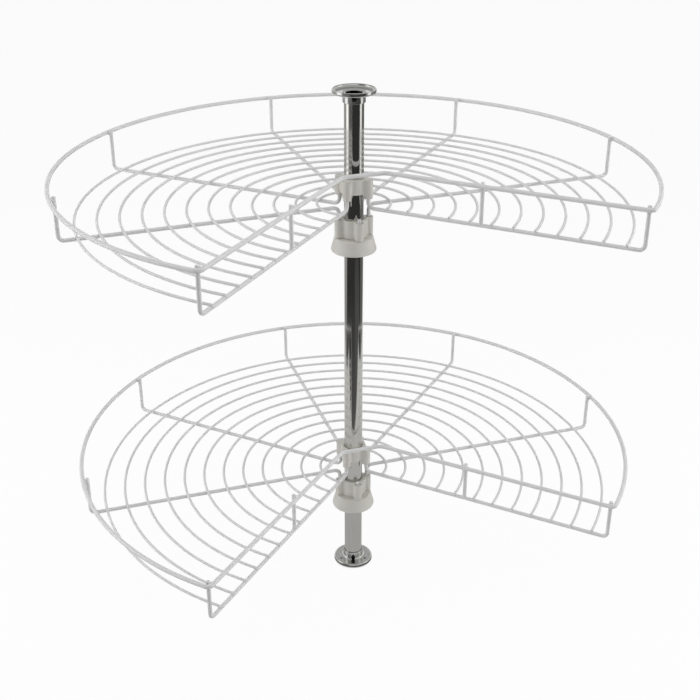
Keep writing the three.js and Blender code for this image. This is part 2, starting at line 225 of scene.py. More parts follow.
class CarouselStage(PropertyGroup):
    """The camera, which stands where the photograph was taken, and the studio's floor."""

    camera_place: FloatVectorProperty(
        name="Camera place", description="Where the camera stands", default=(-0.4727, -1.2861, 1.028),
        unit="LENGTH", subtype="TRANSLATION", precision=4,
    )
    camera_turn: angle("Camera turn", -19.98, "Turn from looking along +Y")
    camera_tilt: angle("Camera tilt", 26.514, "How far the camera looks down")
    camera_roll: angle("Camera roll", 0.036, "Turn about the line of sight")
    camera_lens: FloatProperty(
        name="Lens", description="Focal length on a 36 mm sensor", default=58.06, unit="CAMERA",
    )
    floor_radius: FloatProperty(
        name="Floor radius", description="Radius of the studio floor", default=14, unit="LENGTH",
        subtype="DISTANCE",
    )
    floor_colour: colour("Floor", "#FFFFFF", "White paper")


# ---- Mesh helpers ----------------------------------------------------------------------------

def only_verts(geometry):
    return [item for item in geometry if isinstance(item, bmesh.types.BMVert)]


def between(verts):
    """The edges that join the given vertices."""
    chosen = set(verts)
    edges = (edge for vert in verts for edge in vert.link_edges if edge.other_vert(vert) in chosen)
    return list(dict.fromkeys(edges))


def circle(bm, radius, steps, matrix=Matrix.Identity(4)):
    """A bare circle of edges."""
    made = bmesh.ops.create_circle(bm, cap_ends=False, segments=steps, radius=radius, matrix=matrix)
    return between(made["verts"])


def spin(bm, verts, centre, axis, turn, steps, full=False):
    """Turns vertices and the edges between them about an axis, and returns the last vertices."""
    spun = bmesh.ops.spin(
        bm, geom=verts + between(verts), cent=centre, axis=axis, dvec=(0, 0, 0), angle=turn, steps=steps,
        space=Matrix.Identity(4), use_merge=full, use_normal_flip=False, use_duplicate=False,
    )
    return only_verts(spun["geom_last"])


def bevel(bm, geometry, offset, steps, affect="EDGES"):
    bmesh.ops.bevel(
        bm, geom=geometry, offset=offset, offset_type="OFFSET", segments=steps, profile=0.5, affect=affect,
        clamp_overlap=False, material=-1,
    )


def outline(bm, corners, closed=True):
    """A profile in the XZ plane through (distance, height, round) corners, each with its own round."""
    verts = [bm.verts.new((distance, 0, height)) for distance, height, _ in corners]
    pairs = list(zip(verts, verts[1:]))
    if closed:
        pairs.append((verts[-1], verts[0]))
    for pair in pairs:
        bm.edges.new(pair)
    rounded = [(vert, corner[2]) for vert, corner in zip(verts, corners) if corner[2] > 0]
    for vert, radius in rounded:
        before, after = [edge.other_vert(vert).co - vert.co for edge in vert.link_edges]
        turn = math.pi - before.angle(after)
        bevel(bm, [vert], radius * math.tan(turn / 2), ROUND_STEPS, affect="VERTICES")
    return bm.verts[:]


def lathe(corners, closed=True, steps=TURNED_STEPS):
    """A profile turned once about the Z axis."""
    bm = bmesh.new()
    verts = outline(bm, corners, closed)
    spin(bm, verts, (0, 0, 0), UP, 2 * math.pi, steps, full=True)
    bmesh.ops.remove_doubles(bm, verts=bm.verts[:], dist=MERGE)
    return bm


def polar(distance, azimuth, height=0.0):
    return Vector((distance * math.cos(azimuth), distance * math.sin(azimuth), height))


def box_centre(node):
    low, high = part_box(node)
    return (low + high) / 2


class Wire:
    """A round wire that grows from a start section by straight runs and bends."""

    def __init__(self, bm, diameter, sides, start, heading):
        self.bm = bm
        self.place = Vector(start)
        self.heading = Vector(heading).normalized()
        across = self.heading.to_track_quat("Z", "Y").to_matrix().to_4x4()
        self.section = circle(bm, diameter / 2, sides, Matrix.Translation(self.place) @ across)
        self.first = self.section

    def verts(self):
        return list(dict.fromkeys(vert for edge in self.section for vert in edge.verts))

    def straight(self, run):
        grown = bmesh.ops.extrude_edge_only(self.bm, edges=self.section)["geom"]
        verts = only_verts(grown)
        bmesh.ops.translate(self.bm, verts=verts, vec=self.heading * run)
        self.section = between(verts)
        self.place = self.place + self.heading * run

    def bend(self, axis, radius, turn, steps=BEND_STEPS):
        """Turns by an angle about an axis; the bend's centre lies beside the wire, a radius away."""
        centre = self.place + axis.cross(self.heading) * math.copysign(radius, turn)
        self.section = between(spin(self.bm, self.verts(), centre, axis, turn, steps))
        rotation = Matrix.Rotation(turn, 3, axis)
        self.place = centre + rotation @ (self.place - centre)
        self.heading = rotation @ self.heading

    def cap_ends(self, round_off):
        """Closes both ends, with rounded rims."""
        for section in (self.first, self.section):
            bmesh.ops.edgeloop_fill(self.bm, edges=section)
            bevel(self.bm, section, round_off, ROUND_STEPS - 1)


def bead(bm, place, azimuth, sizes):
    """A weld bead under its coat: a squashed ball whose sizes run along, across and up from an azimuth."""
    matrix = Matrix.Translation(place) @ Matrix.Rotation(azimuth, 4, "Z") @ Matrix.Diagonal((*sizes, 1))
    bmesh.ops.create_uvsphere(bm, u_segments=12, v_segments=8, radius=1, matrix=matrix)


def closed_bodies(bm):
    """The faces of a mesh, sorted into the bodies that they enclose."""
    left = dict.fromkeys(bm.faces)
    bodies = []
    while left:
        body = [left.popitem()[0]]
        for face in body:                                   # the list grows while it is walked
            for edge in face.edges:
                for other in edge.link_faces:
                    if other in left:
                        del left[other]
                        body.append(other)
        bodies.append(body)
    return bodies


def face_outwards(bm):
    """Turns the faces outwards; a body's volume shows where the operator took its inside for its outside."""
    bmesh.ops.recalc_face_normals(bm, faces=bm.faces[:])
    bm.normal_update()
    for body in closed_bodies(bm):
        start = body[0].verts[0].co
        volume = sum((face.verts[0].co - start).dot(face.normal) * face.calc_area() for face in body)
        if volume < 0:
            bmesh.ops.reverse_faces(bm, faces=body)


def finish_piece(bm, node, how, material, cutter=None):
    """Makes a piece of a mesh, in the place of a node of the frame."""
    bmesh.ops.remove_doubles(bm, verts=bm.verts[:], dist=MERGE)
    face_outwards(bm)
    for face in bm.faces:
        face.smooth = True
    name = f"{node}_{how}"
    piece = object_of(bm, name)
    if cutter is not None:
        cut(piece, cutter)
    piece.data.set_sharp_from_angle(angle=SHARP)
    piece.data.materials.clear()
    piece.data.materials.append(material)
    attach(piece, frame["nodes"][node]["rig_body"])
    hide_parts(node)
    even = piece.modifiers.new("even shading", "WEIGHTED_NORMAL")    # flats stay flat beside their rounds
    even.keep_sharp = True
    return piece


def object_of(bm, name):
    mesh = bpy.data.meshes.new(name)
    bm.to_mesh(mesh)
    bm.free()
    made = bpy.data.objects.new(name, mesh)
    bpy.context.scene.collection.objects.link(made)
    return made


def cut(piece, cutter):
    """Cuts a piece with another closed mesh."""
    face_outwards(cutter)
    tool = object_of(cutter, f"{piece.name}_cutter")
    modifier = piece.modifiers.new("holes", "BOOLEAN")
    modifier.operation = "DIFFERENCE"
    modifier.solver = "EXACT"
    modifier.object = tool
    graph = bpy.context.evaluated_depsgraph_get()
    shaped = bpy.data.meshes.new_from_object(piece.evaluated_get(graph))
    piece.modifiers.clear()
    piece.data = shaped
    bpy.data.objects.remove(tool)


# ---- Materials -------------------------------------------------------------------------------

def add_node(tree, kind, values=None, links=None, **settings):
    """Adds a node with its settings, its inputs' values, and its inputs' links as (node, output)."""
    node = tree.nodes.new(kind)
    for name, value in settings.items():
        setattr(node, name, value)
    for socket, value in (values or {}).items():
        node.inputs[socket].default_value = value
    for socket, (source, output) in (links or {}).items():
        tree.links.new(source.outputs[output], node.inputs[socket])
    return node


def new_material(name):
    """A new material, and its empty node tree."""
    material = bpy.data.materials.new(name)
    material.use_nodes = True
    material.node_tree.nodes.clear()
    return material, material.node_tree


def shared_material(name):
    """The material of that name, and its empty node tree if it is made only now."""
    if name in bpy.data.materials:
        return bpy.data.materials[name], None
    return new_material(name)


def grain(tree, size, stretch=(1, 1, 1), detail=2.0):
    """Noise in the object's own coordinates, with grains of a real size in metres."""
    place = add_node(tree, "ShaderNodeTexCoord")
    mapping = add_node(tree, "ShaderNodeMapping", {"Scale": stretch}, {"Vector": (place, "Object")})
    return add_node(
        tree, "ShaderNodeTexNoise", {"Scale": 1 / size, "Detail": detail}, {"Vector": (mapping, "Vector")},
    )


def shade(value, factor):
    """A colour made darker or paler, with its alpha."""
    return (*(channel * factor for channel in value), 1)


def add_surface(tree, values, gloss, tone=None, relief=None):
    """A material's shader and output, whose roughness, colour and bump may each follow a pattern.

    gloss holds a pattern and its least and most; tone a pattern, a colour, and its darkest and palest share;
    relief a pattern, a strength and a depth.
    """
    pattern, least, most = gloss
    roughness = add_node(
        tree, "ShaderNodeMapRange", {"To Min": least, "To Max": most}, {"Value": (pattern, "Fac")},
    )
    links = {"Roughness": (roughness, "Result")}
    if tone:
        pattern, base, darkest, palest = tone
        mixed = add_node(
            tree, "ShaderNodeMix", {"A": shade(base, darkest), "B": shade(base, palest)},
            {"Factor": (pattern, "Fac")}, data_type="RGBA",
        )
        links["Base Color"] = (mixed, "Result")
    if relief:
        pattern, strength, depth = relief
        bump = add_node(
            tree, "ShaderNodeBump", {"Strength": strength, "Distance": depth}, {"Height": (pattern, "Fac")},
        )
        links["Normal"] = (bump, "Normal")
    surface = add_node(tree, "ShaderNodeBsdfPrincipled", values, links)
    add_node(tree, "ShaderNodeOutputMaterial", links={"Surface": (surface, "BSDF")})


def powder_coat():
    """Polyester powder coat on steel wire, baked satin: soft highlights broken by a faint orange peel."""
    material, tree = shared_material("polyester powder coat")
    if tree:
        base = tuple(bpy.context.scene.carousel_basket.coat_colour)
        clouds = grain(tree, 14 * MM)
        peel = grain(tree, 1.1 * MM)            # orange peel, about the real 1 mm
        add_surface(
            tree, {"IOR": 1.5}, gloss=(peel, 0.37, 0.43), tone=(clouds, base, 0.965, 1.02),
            relief=(peel, 0.1, 0.04 * MM),
        )
    return material


def nickel_chrome(name, base, lines, gloss, waves_deep):
    """Nickel-chrome plate on steel, with the base metal's polishing lines and slight waves under it."""
    material, tree = shared_material(name)
    if tree:
        polish = grain(tree, 0.9 * MM, stretch=lines, detail=3.0)
        waves = grain(tree, 9 * MM, stretch=(1, 1, 0.35))
        add_surface(
            tree, {"Metallic": 1.0}, gloss=(polish, *gloss), tone=(polish, base, 0.9, 1.1),
            relief=(waves, 0.12, waves_deep),
        )
    return material


def bright_chrome():
    """Bright chrome on drawn tube: mirror reflections, very slightly drawn out along the pole."""
    base = tuple(bpy.context.scene.carousel_pole.chrome_colour)
    return nickel_chrome(
        "bright nickel-chrome plate", base, lines=(1, 1, 0.03), gloss=(0.05, 0.12), waves_deep=0.05 * MM,
    )


def satin_chrome():
    """Barrel-finished chrome on a pressing: the same mirror, softened so that its highlights spread."""
    base = tuple(bpy.context.scene.carousel_pole.flange_colour)
    return nickel_chrome(
        "satin nickel-chrome plate", base, lines=(1, 1, 1), gloss=(0.15, 0.22), waves_deep=0.03 * MM,
    )


def moulded_plastic():
    """Injection-moulded acetal from a spark-eroded mould: an even fine matte with softly clouded tone."""
    material, tree = shared_material("moulded acetal")
    if tree:
        base = tuple(bpy.context.scene.carousel_hub.plastic_colour)
        clouds = grain(tree, 18 * MM)
        erosion = grain(tree, 0.35 * MM)        # spark-eroded grain, drawn coarser than the real 0.1 mm
        add_surface(
            tree, {"IOR": 1.48}, gloss=(erosion, 0.42, 0.56), tone=(clouds, base, 0.95, 1.02),
            relief=(erosion, 0.3, 0.03 * MM),
        )
    return material


def black_oxide():
    """Black oxide on hardened steel: dark, oily, with a dull metallic glint."""
    material, tree = shared_material("black oxide steel")
    if tree:
        base = tuple(bpy.context.scene.carousel_pole.black_colour)
        stain = grain(tree, 0.6 * MM)
        add_surface(tree, {"Base Color": (*base, 1), "Metallic": 0.85}, gloss=(stain, 0.28, 0.5))
    return material


# ---- Basket layout ---------------------------------------------------------------------------

def carrier_matrix(basket):
    """From a hub built with the spokes at height 0 to its place in the frame."""
    return Matrix.Translation((0, 0, PIVOT_OF[f"{basket}_basket"][2]))


def basket_matrix(basket):
    """The same for a basket, which is built with its notch facing -Y."""
    pin = box_centre(f"{basket}_hub_pin")
    turn = math.atan2(pin.y, pin.x) + QUARTER_TURN
    return carrier_matrix(basket) @ Matrix.Rotation(turn, 4, "Z")


def spoke_azimuth(index):
    """Spoke 0 is the notch's left edge, and the rest follow clockwise seen from above."""
    return -QUARTER_TURN - SECTOR * (index + 1)


def place_in(bm, matrix):
    bmesh.ops.transform(bm, matrix=matrix, verts=bm.verts[:])


def ring_radius(sizes, index):
    return sizes.first_ring + (sizes.last_ring - sizes.first_ring) * index / (RING_COUNT - 1)


def post_top(sizes):
    return sizes.rail_height + sizes.rail_diameter / 2 + sizes.post_stub


def bottom_collar_foot(hub):
    return -hub.bottom_collar_drop - hub.bottom_collar_height


def corner_place(sizes):
    """Where the rail's tight corner is centred, along and across the right edge spoke."""
    across = sizes.post_offset - sizes.corner_radius
    return math.sqrt((sizes.radius - sizes.corner_radius) ** 2 - across ** 2), across


# ---- Wire pieces -----------------------------------------------------------------------------

def build_rail(sizes):
    """One loop: the chord, a straight edge, the tight corner, the rim, and the same back."""
    along, across = corner_place(sizes)
    lag = math.atan2(-across, along)
    edge = math.sqrt(0.5)                                   # both edges lie at 45 degrees
    chord_along = sizes.chord_setback / edge - sizes.post_offset
    half_chord = edge * (chord_along - sizes.post_offset)
    tangent = sizes.chord_bend * math.tan(SECTOR / 2)
    straight = along - chord_along - tangent
    bm = bmesh.new()
    start = (0, -sizes.chord_setback, sizes.rail_height)
    wire = Wire(bm, sizes.rail_diameter, WIRE_SIDES, start, (1, 0, 0))
    wire.straight(half_chord - tangent)
    wire.bend(UP, sizes.chord_bend, -SECTOR)
    wire.straight(straight)
    wire.bend(UP, sizes.corner_radius, QUARTER_TURN + lag)
    wire.bend(UP, sizes.radius, 3 * QUARTER_TURN - 2 * lag, RAIL_STEPS)
    wire.bend(UP, sizes.corner_radius, QUARTER_TURN + lag)
    wire.straight(straight)
    wire.bend(UP, sizes.chord_bend, -SECTOR)
    wire.straight(half_chord - tangent)
    post_radius = sizes.radius - sizes.post_offset
    for index in range(1, SPOKE_COUNT - 1):
        azimuth = spoke_azimuth(index)
        place = polar(post_radius + sizes.post_offset / 2, azimuth, sizes.rail_height)
        bead(bm, place, azimuth, RAIL_BEAD)
    for index, side in ((0, 1), (SPOKE_COUNT - 1, -1)):
        azimuth = spoke_azimuth(index)
        for distance in (along, sizes.mid_post_place):
            place = polar(distance, azimuth, sizes.rail_height)
            place += polar(sizes.post_offset / 2, azimuth + side * QUARTER_TURN)
            bead(bm, place, azimuth + QUARTER_TURN, RAIL_BEAD)
    return bm


def build_spoke(sizes, hub, index):
    """A pin in its collar, a bend, the run along the floor, a bend, and the post beside the rail."""
    azimuth = spoke_azimuth(index)
    outward = polar(1, azimuth)
    axis = outward.cross(UP)
    pins_up = index % 2 == 0
    top_end = hub.top_collar_foot + hub.top_collar_height - hub.pin_end_gap
    bottom_end = bottom_collar_foot(hub) + hub.pin_end_gap
    pin_end = top_end if pins_up else bottom_end
    edge = index in (0, SPOKE_COUNT - 1)
    post = corner_place(sizes)[0] if edge else sizes.radius - sizes.post_offset
    bm = bmesh.new()
    start = polar(sizes.pin_circle, azimuth, pin_end)
    wire = Wire(bm, sizes.spoke_diameter, WIRE_SIDES, start, -UP if pins_up else UP)
    wire.straight(abs(pin_end) - sizes.pin_bend)
    wire.bend(axis, sizes.pin_bend, QUARTER_TURN if pins_up else -QUARTER_TURN)
    wire.straight(post - sizes.pin_circle - sizes.pin_bend - sizes.post_bend)
    wire.bend(axis, sizes.post_bend, QUARTER_TURN)
    wire.straight(post_top(sizes) - sizes.post_bend)
    wire.cap_ends(sizes.end_round)
    return bm


def build_ring(sizes, index):
    """A floor ring on top of the spokes, open at the notch, with a weld bead on every spoke."""
    radius = ring_radius(sizes, index)
    overhang = sizes.ring_overhang / radius
    start = spoke_azimuth(SPOKE_COUNT - 1) - overhang
    bm = bmesh.new()
    wire = Wire(
        bm, sizes.ring_diameter, RING_SIDES, polar(radius, start, sizes.ring_lift),
        polar(1, start + QUARTER_TURN),
    )
    wire.bend(UP, radius, 3 * QUARTER_TURN + 2 * overhang, RING_STEPS)
    wire.cap_ends(sizes.end_round / 2)
    for spoke in range(SPOKE_COUNT):
        azimuth = spoke_azimuth(spoke)
        bead(bm, polar(radius, azimuth, RING_BEAD_HEIGHT), azimuth, RING_BEAD)
    return bm


def build_mid_post(sizes, side_index):
    """The short post on an edge spoke, with a bead round its foot."""
    azimuth = spoke_azimuth(side_index)
    place = polar(sizes.mid_post_place, azimuth)
    bm = bmesh.new()
    wire = Wire(bm, sizes.spoke_diameter, WIRE_SIDES, place, UP)
    wire.straight(post_top(sizes))
    wire.cap_ends(sizes.end_round)
    bead(bm, place + UP * POST_BEAD_HEIGHT, azimuth, POST_BEAD)
    return bm


def build_hub_pin(sizes, hub):
    """The round-ended pin in the bottom collar's front lobe."""
    radius = sizes.spoke_diameter / 2
    low = bottom_collar_foot(hub) + hub.pin_end_gap
    high = hub.hub_pin_standout - hub.bottom_collar_drop
    foot_round, top_round = 0.3 * MM, 0.9 * radius
    corners = [(0, low, 0), (radius, low, foot_round), (radius, high, top_round), (0, high, 0)]
    bm = lathe(corners, closed=False, steps=SMALL_STEPS)
    place_in(bm, Matrix.Translation((0, -sizes.pin_circle, 0)))
    return bm


# ---- Moulded pieces --------------------------------------------------------------------------

def collar_outline(bm, hub, pin_circle, azimuths, height):
    """Ring arcs, lobe arcs and the hollow fillets between them, as one closed loop."""
    ring = hub.bore / 2 + hub.collar_wall
    lobe = hub.lobe_diameter / 2
    fillet = hub.lobe_fillet
    to_fillet, to_both = ring + fillet, lobe + fillet
    off_lobe = math.acos((to_fillet ** 2 + pin_circle ** 2 - to_both ** 2) / (2 * to_fillet * pin_circle))
    at_lobe = math.acos((to_both ** 2 + pin_circle ** 2 - to_fillet ** 2) / (2 * to_both * pin_circle))
    hollow = math.pi - off_lobe - at_lobe
    first = bm.verts.new(polar(ring, azimuths[0] + off_lobe, height))
    made, last = [first], [first]

    def arc(centre, turn, steps):
        nonlocal last
        before = set(bm.verts)
        last = spin(bm, last, centre, UP, turn, steps)
        made.extend(vert for vert in bm.verts if vert not in before)

    for azimuth, following in zip(azimuths, azimuths[1:] + [azimuths[0] + 2 * math.pi]):
        arc((0, 0, height), following - azimuth - 2 * off_lobe, ROUND_STEPS * 2)
        arc(polar(to_fillet, following - off_lobe, height), -hollow, ROUND_STEPS)
        arc(polar(pin_circle, following, height), 2 * (math.pi - at_lobe), LOBE_STEPS)
        arc(polar(to_fillet, following + off_lobe, height), -hollow, ROUND_STEPS)
    bmesh.ops.remove_doubles(bm, verts=made, dist=MERGE)
    return between([vert for vert in made if vert.is_valid])


def fill(bm, edges):
    """A flat face, in triangles, inside the outermost loop and outside the others."""
    filled = bmesh.ops.triangle_fill(bm, use_beauty=True, use_dissolve=False, edges=edges, normal=UP)
    return [item for item in filled["geom"] if isinstance(item, bmesh.types.BMFace)]


def raise_region(bm, faces, height):
    """Extrudes a flat region straight up or down, which leaves its first faces only if they stand alone."""
    edges = dict.fromkeys(edge for face in faces for edge in face.edges)
    grown = bmesh.ops.extrude_face_region(bm, geom=faces + list(edges))["geom"]
    bmesh.ops.translate(bm, verts=only_verts(grown), vec=UP * height)


def build_collar(hub, pin_circle, azimuths, low, collar_height, lobe_drop=0, roof=0):
    """A ring round the pole with a lobe and socket at each azimuth; lobes may reach lower and be roofed."""
    bm = bmesh.new()
    loop = collar_outline(bm, hub, pin_circle, azimuths, low)
    bore = circle(bm, hub.bore / 2, TURNED_STEPS // 2, Matrix.Translation((0, 0, low)))
    centres = [Matrix.Translation(polar(pin_circle, azimuth, low)) for azimuth in azimuths]
    skirt_radius = hub.lobe_diameter / 2 - hub.lobe_draft
    skirts = [circle(bm, skirt_radius, SMALL_STEPS, centre) for centre in centres]
    sockets = [circle(bm, hub.socket_diameter / 2, SMALL_STEPS, centre) for centre in centres]
    body = fill(bm, loop + bore + [edge for skirt in skirts for edge in skirt])
    lobes = [face for skirt, socket in zip(skirts, sockets) for face in fill(bm, skirt + socket)]
    floors = [face for socket in sockets for face in fill(bm, socket)] if roof > 0 else []
    raise_region(bm, body + lobes + floors, collar_height)
    if roof > 0:
        raise_region(bm, floors, collar_height - roof)
    if lobe_drop > 0:
        raise_region(bm, lobes, -lobe_drop)
    face_outwards(bm)
    rims = [
        edge for edge in bm.edges
        if len(edge.link_faces) == 2 and edge.calc_face_angle_signed() > CORNER
    ]
    bevel(bm, rims, hub.edge_round, EDGE_STEPS)
    return bm


def build_cone(hub, screw):
    """A flared skirt with a clamping sleeve inside, and the mesh that cuts its key hole."""
    top = bottom_collar_foot(hub) - hub.cone_gap
    foot = top - hub.cone_height
    bore, sleeve = hub.cone_bore / 2, hub.cone_sleeve / 2
    roof = top - hub.cone_roof
    sleeve_foot = foot + hub.sleeve_inset
    foot_width = 5.5 * MM
    foot_round, top_round, edge_round = 3 * MM, 1.5 * MM, 0.4 * MM
    corners = [
        (bore, top, edge_round),
        (hub.cone_top / 2, top, top_round),
        (hub.cone_foot / 2, foot, foot_round),
        (hub.cone_foot / 2 - foot_width, foot, edge_round),
        (hub.cone_top / 2 - hub.cone_skirt, roof, 2 * edge_round),
        (sleeve, roof, 2 * edge_round),
        (sleeve, sleeve_foot, edge_round),
        (bore, sleeve_foot, edge_round),
    ]
    azimuth = math.atan2(screw.y, screw.x)
    clearance = 0.5 * MM                                    # off the sleeve, and past the skirt
    far = hub.cone_foot / 2 + clearance
    near = sleeve + clearance
    place = Matrix.Rotation(azimuth, 4, "Z") @ Matrix.Translation(((near + far) / 2, 0, screw.z))
    hole = hub.access_hole / 2
    cutter = bmesh.new()
    bmesh.ops.create_cone(
        cutter, cap_ends=True, segments=SMALL_STEPS, radius1=hole, radius2=hole, depth=far - near,
        matrix=place @ Matrix.Rotation(QUARTER_TURN, 4, "Y"),
    )
    return lathe(corners), cutter


# ---- Turned, pressed and screwed steel -------------------------------------------------------

def build_tube(sizes):
    """The pole's tube, with its ends' edges broken."""
    low, high = (corner.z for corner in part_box("pole_tube"))
    outer = sizes.tube_diameter / 2
    inner = outer - sizes.tube_wall
    edge = sizes.tube_chamfer
    return lathe([(inner, low, edge), (outer, low, edge), (outer, high, edge), (inner, high, edge)])


def boundary_at(bm, height):
    """The open edges at one height."""
    return [
        edge for edge in bm.edges
        if len(edge.link_faces) < 2 and all(abs(vert.co.z - height) < MERGE for vert in edge.verts)
    ]


def build_flange(sizes):
    """A pressed dish: a drawn neck and a rolled lip, turned, joined by a flat web with three holes."""
    bore = sizes.tube_diameter / 2 + sizes.neck_gap
    neck = bore + sizes.neck_wall
    rim = sizes.flange_diameter / 2
    lip = rim - sizes.flange_sheet
    web_low, web_high = sizes.flange_recess, sizes.flange_recess + sizes.flange_sheet
    support = 0.15 * MM                                    # keeps the web's shading flat beside its rounds
    inner = neck + sizes.neck_fillet + support
    dish_edge = lip - sizes.dish_round - support
    round_edge = rim - sizes.lip_round - support
    neck_edge, lip_edge = 0.35 * MM, 0.5 * MM
    flare = sizes.neck_fillet + support
    neck_corners = [
        (inner, web_high, 0),
        (inner - support, web_high, 0),
        (neck, web_high, sizes.neck_fillet),
        (neck, sizes.neck_height, neck_edge),
        (bore, sizes.neck_height, neck_edge),
        (bore, web_low, flare),
        (inner, web_low, 0),
    ]
    lip_corners = [
        (dish_edge, web_low, 0),
        (lip, web_low, sizes.dish_round),
        (lip, 0, lip_edge),
        (rim, 0, lip_edge),
        (rim, web_high, sizes.lip_round),
        (round_edge, web_high, 0),
    ]
    bm = lathe(neck_corners, closed=False)
    lip_part = lathe(lip_corners, closed=False)
    carrier = bpy.data.meshes.new("lip part")
    lip_part.to_mesh(carrier)
    lip_part.free()
    bm.from_mesh(carrier)
    bpy.data.meshes.remove(carrier)
    holes = []
    for level in (web_low, web_high):
        rims = boundary_at(bm, level)
        circles = []
        for index in range(SCREW_HOLES):
            azimuth = math.pi + index * 2 * math.pi / SCREW_HOLES
            centre = Matrix.Translation(polar(sizes.screw_circle / 2, azimuth, level))
            circles.append(circle(bm, sizes.screw_hole / 2, SMALL_STEPS, centre))
        fill(bm, rims + [edge for hole in circles for edge in hole])
        holes.append(circles)
    for low_hole, high_hole in zip(*holes):
        bmesh.ops.bridge_loops(bm, edges=low_hole + high_hole)
    return bm


def build_grub_screw(sizes, run):
    """A headless screw standing on its tip, with a hexagon socket in its outer end."""
    radius = sizes.grub_diameter / 2
    chamfer = 0.45 * MM
    corners = [(0, 0, 0), (radius - chamfer, 0, 0), (radius, chamfer, 0), (radius, run - chamfer, 0)]
    bm = lathe(corners + [(radius - chamfer, run, 0)], closed=False, steps=SMALL_STEPS)
    rim = boundary_at(bm, run)
    corner = sizes.grub_socket / 2 / math.cos(math.pi / 6)
    hexagon = circle(bm, corner, 6, Matrix.Translation((0, 0, run)))
    fill(bm, rim + hexagon)
    grown = only_verts(bmesh.ops.extrude_edge_only(bm, edges=hexagon)["geom"])
    bmesh.ops.translate(bm, verts=grown, vec=-UP * sizes.grub_socket_depth)
    bmesh.ops.edgeloop_fill(bm, edges=between(grown))
    return bm


# ---- Operators -------------------------------------------------------------------------------

def finish_wire(bm, basket, part):
    """Puts a coated wire piece in its basket."""
    place_in(bm, basket_matrix(basket))
    finish_piece(bm, f"{basket}_{part}", "coated", powder_coat())


class CAROUSEL_OT_rails(Operator):
    """Build the rail of each basket"""

    bl_idname = "carousel.rails"
    bl_label = "Basket rails"

    def execute(self, context):
        for basket in BASKETS:
            finish_wire(build_rail(context.scene.carousel_basket), basket, "rail")
        return {"FINISHED"}


class CAROUSEL_OT_spokes(Operator):
    """Build the floor spokes with their pins and posts"""

    bl_idname = "carousel.spokes"
    bl_label = "Floor spokes"

    def execute(self, context):
        scene = context.scene
        for basket in BASKETS:
            for index in range(SPOKE_COUNT):
                bm = build_spoke(scene.carousel_basket, scene.carousel_hub, index)
                finish_wire(bm, basket, f"spoke_{index + 1}")
        return {"FINISHED"}


class CAROUSEL_OT_rings(Operator):
    """Build the floor rings and their weld beads"""

    bl_idname = "carousel.rings"
    bl_label = "Floor rings"

    def execute(self, context):
        for basket in BASKETS:
            for index in range(RING_COUNT):
                bm = build_ring(context.scene.carousel_basket, index)
                finish_wire(bm, basket, f"ring_{index + 1:02d}")
        return {"FINISHED"}


class CAROUSEL_OT_mid_posts(Operator):
    """Build the short posts on the notch's edges"""

    bl_idname = "carousel.mid_posts"
    bl_label = "Short posts"

    def execute(self, context):
        for basket in BASKETS:
            for side, index in (("left", 0), ("right", SPOKE_COUNT - 1)):
                bm = build_mid_post(context.scene.carousel_basket, index)
                finish_wire(bm, basket, f"{side}_mid_post")
        return {"FINISHED"}


class CAROUSEL_OT_hub_pins(Operator):
    """Build the round-ended pin of each hub"""

    bl_idname = "carousel.hub_pins"
    bl_label = "Hub pins"

    def execute(self, context):
        scene = context.scene
        for basket in BASKETS:
            bm = build_hub_pin(scene.carousel_basket, scene.carousel_hub)
            finish_wire(bm, basket, "hub_pin")
        return {"FINISHED"}


class CAROUSEL_OT_collars(Operator):
    """Build the moulded collars that carry the spokes"""

    bl_idname = "carousel.collars"
    bl_label = "Hub collars"

    def execute(self, context):
        hub = context.scene.carousel_hub
        pin_circle = context.scene.carousel_basket.pin_circle
        upward = sorted(spoke_azimuth(index) for index in range(0, SPOKE_COUNT, 2))
        downward = sorted([spoke_azimuth(index) for index in range(1, SPOKE_COUNT, 2)] + [-QUARTER_TURN])
        for basket in BASKETS:
            top = build_collar(
                hub, pin_circle, upward, hub.top_collar_foot, hub.top_collar_height,
                lobe_drop=hub.top_lobe_drop, roof=hub.socket_roof,
            )
            bottom = build_collar(
                hub, pin_circle, downward, bottom_collar_foot(hub), hub.bottom_collar_height,
            )
            for name, bm in (("top_collar", top), ("bottom_collar", bottom)):
                place_in(bm, basket_matrix(basket))
                finish_piece(bm, f"{basket}_{name}", "moulded", moulded_plastic())
        return {"FINISHED"}


class CAROUSEL_OT_cones(Operator):
    """Build the flared cones that carry the baskets"""

    bl_idname = "carousel.cones"
    bl_label = "Support cones"

    def execute(self, context):
        for basket in BASKETS:
            place = carrier_matrix(basket)
            screw = place.inverted() @ box_centre(f"{basket}_cone_grub_screw")
            bm, cutter = build_cone(context.scene.carousel_hub, screw)
            place_in(bm, place)
            place_in(cutter, place)
            finish_piece(bm, f"{basket}_cone", "moulded", moulded_plastic(), cutter)
        return {"FINISHED"}


class CAROUSEL_OT_pole_tube(Operator):
    """Build the pole's chromed tube"""

    bl_idname = "carousel.pole_tube"
    bl_label = "Pole tube"

    def execute(self, context):
        finish_piece(build_tube(context.scene.carousel_pole), "pole_tube", "plated", bright_chrome())
        return {"FINISHED"}


